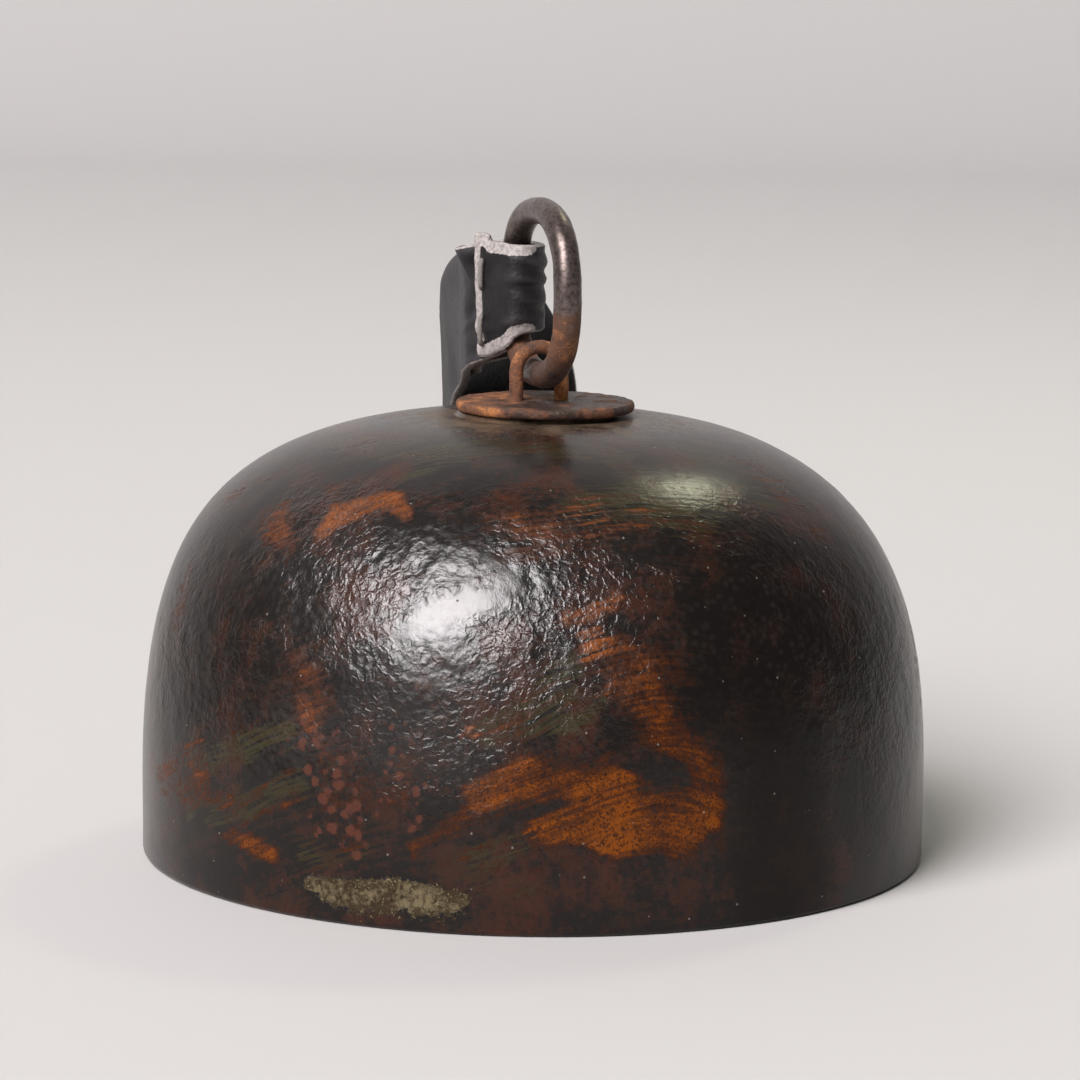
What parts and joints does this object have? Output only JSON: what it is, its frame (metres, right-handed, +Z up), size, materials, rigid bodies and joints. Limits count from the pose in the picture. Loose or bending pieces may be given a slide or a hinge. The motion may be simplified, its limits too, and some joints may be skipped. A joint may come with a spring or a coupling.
{
  "type": "hand bell",
  "caption": "Squat cast hand bell with an iron crown staple, forged ring, folded leather hand strap and a swinging clapper inside.",
  "frame": {"origin": "centre of the bell's rim, on the plane it stands on", "axes": "+Z up along the bell's axis, -Y towards the side seen in the picture, +X to that picture's right"},
  "size_m": [0.1, 0.1206, 0.0835],
  "materials": {
    "lacquered_bell": "dark brown lacquer with rusty brown wear, glossy",
    "rusty_iron": "rusted",
    "forged_iron": "dark, polished by use",
    "inner_iron": "dull",
    "black_leather": "worn black, grey cut edges",
    "waxed_thread": "waxed"
  },
  "bodies": {
    "bell": {"bell_dome": "lacquered_bell", "crown_washer": "rusty_iron", "inner_washer": "inner_iron", "hanger_staple": "rusty_iron"},
    "ring": {"carrying_ring": "forged_iron", "leather_strap": "black_leather", "strap_thread": "waxed_thread"},
    "link": {"clapper_link": "inner_iron"},
    "clapper": {"clapper_rod": "inner_iron", "clapper_striker": "inner_iron"}
  },
  "joints": [
    {"name": "ring_swing", "type": "hinge", "parent": "bell", "child": "ring", "pos_m": [0.0001, 0, 0.0612], "axis": [-0.309, 0.9511, 0], "range_deg": [-85, 85], "deforming": ["leather_strap", "strap_thread"]},
    {"name": "link_swing", "type": "hinge", "parent": "bell", "child": "link", "pos_m": [0.0001, 0, 0.0443], "axis": [0.9511, 0.309, 0], "range_deg": [-58, 58]},
    {"name": "clapper_swing", "type": "hinge", "parent": "link", "child": "clapper", "pos_m": [0.0001, 0, 0.03865], "axis": [-0.309, 0.9511, 0], "range_deg": [-58, 58]}
  ]
}
